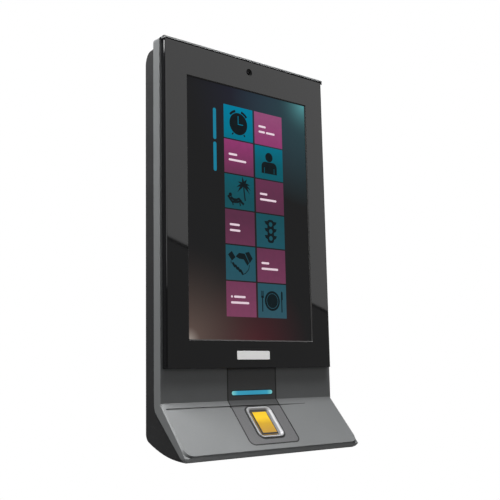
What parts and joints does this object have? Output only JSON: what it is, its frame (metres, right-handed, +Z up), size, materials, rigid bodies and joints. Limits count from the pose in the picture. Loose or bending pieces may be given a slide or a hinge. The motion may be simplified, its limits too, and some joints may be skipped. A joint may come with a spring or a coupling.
{
  "type": "fingerprint scanner terminal",
  "caption": "Wall-mounted access terminal with a tall touch display, a sloping fingerprint reader, a status light bar and a hinged wall bracket with a clamp screw.",
  "frame": {"origin": "centre of the four-hole wall pattern, on the wall plane", "axes": "+X to the right seen from the front, +Y into the wall, +Z up; the front faces -Y"},
  "size_m": [0.13, 0.0406, 0.2419],
  "materials": {
    "bracket_steel": "satin",
    "bright_steel": "satin",
    "housing_black": "matte",
    "frame_grey": "satin",
    "fascia_black": "gloss",
    "label_white": "satin",
    "touch_glass": "gloss",
    "gasket_black": "matte",
    "screen": "gloss",
    "brass": "satin",
    "board_green": "satin",
    "chip_black": "matte",
    "plated_metal": "satin",
    "ribbon_amber": "satin",
    "terminal_green": "matte",
    "insert_grey": "satin",
    "light_blue": "gloss",
    "led_white": "gloss",
    "bezel_metal": "satin",
    "sensor_gold": "gloss",
    "lens_black": "gloss",
    "screw_black": "satin",
    "plunger_white": "matte",
    "button_red": "matte"
  },
  "bodies": {
    "bracket": {"wall_bracket": "bracket_steel", "clamp_fork": "bracket_steel", "hinge_pins": "bright_steel"},
    "terminal": {"rear_housing": "housing_black", "front_frame": "frame_grey", "fascia": "fascia_black", "nameplate": "label_white", "touch_panel": "touch_glass", "touch_gasket": "gasket_black", "display_cell": "screen", "lcd_module": "bright_steel", "lcd_bracket": "bracket_steel", "lcd_screws": "bright_steel", "standoffs": "brass", "main_board": "board_green", "board_screws": "bright_steel", "board_components": "chip_black", "shield_can": "plated_metal", "cell_holder": "chip_black", "backup_cell": "bright_steel", "display_ribbon": "ribbon_amber", "board_ribbon": "ribbon_amber", "io_board": "board_green", "io_screws": "bright_steel", "network_jack": "plated_metal", "usb_socket": "plated_metal", "terminal_block": "terminal_green", "terminal_screws": "bright_steel", "reader_insert": "insert_grey", "light_bar": "light_blue", "led_board": "board_green", "status_leds": "led_white", "sensor_bezel": "bezel_metal", "sensor_window": "sensor_gold", "sensor_module": "chip_black", "sensor_board": "board_green", "sensor_screws": "bright_steel", "sensor_ribbon": "ribbon_amber", "camera_window": "lens_black", "camera_module": "chip_black", "camera_ribbon": "ribbon_amber", "speaker": "chip_black", "threaded_inserts": "brass", "case_screws": "screw_black", "tamper_spring": "bright_steel", "tamper_switch": "chip_black", "reset_switch": "chip_black"},
    "lock_screw": {"lock_screw": "bright_steel", "retaining_clip": "bright_steel"},
    "clamp_nut": {"clamp_nut": "bright_steel"},
    "tamper_plunger": {"tamper_plunger": "plunger_white"},
    "reset_button": {"reset_button": "button_red"}
  },
  "joints": [
    {"name": "terminal_tilt", "type": "hinge", "parent": "bracket", "child": "terminal", "pos_m": [0, -0.0046, 0.101], "axis": [-1, 0, 0], "range_deg": [0, 15]},
    {"name": "lock_screw_turn", "type": "hinge", "parent": "terminal", "child": "lock_screw", "pos_m": [0, -0.0088, -0.11], "axis": [0, 0, -1], "range_deg": [0, 727.2]},
    {"name": "clamp_nut_lift", "type": "slide", "parent": "terminal", "child": "clamp_nut", "axis": [0, 0, 1], "range_m": [0, 0.001]},
    {"name": "tamper_press", "type": "slide", "parent": "terminal", "child": "tamper_plunger", "axis": [0, -1, 0], "range_m": [0, 0.002], "stiffness_N_per_m": 300, "springref_m": -0.002, "deforming": ["tamper_spring"]},
    {"name": "reset_press", "type": "slide", "parent": "terminal", "child": "reset_button", "axis": [0, 0, 1], "range_m": [0, 0.0008], "stiffness_N_per_m": 600, "springref_m": -0.0008}
  ],
  "couplings": [
    {"joint": "lock_screw_turn", "follows": "clamp_nut_lift", "rad_per_m": 12566}
  ]
}
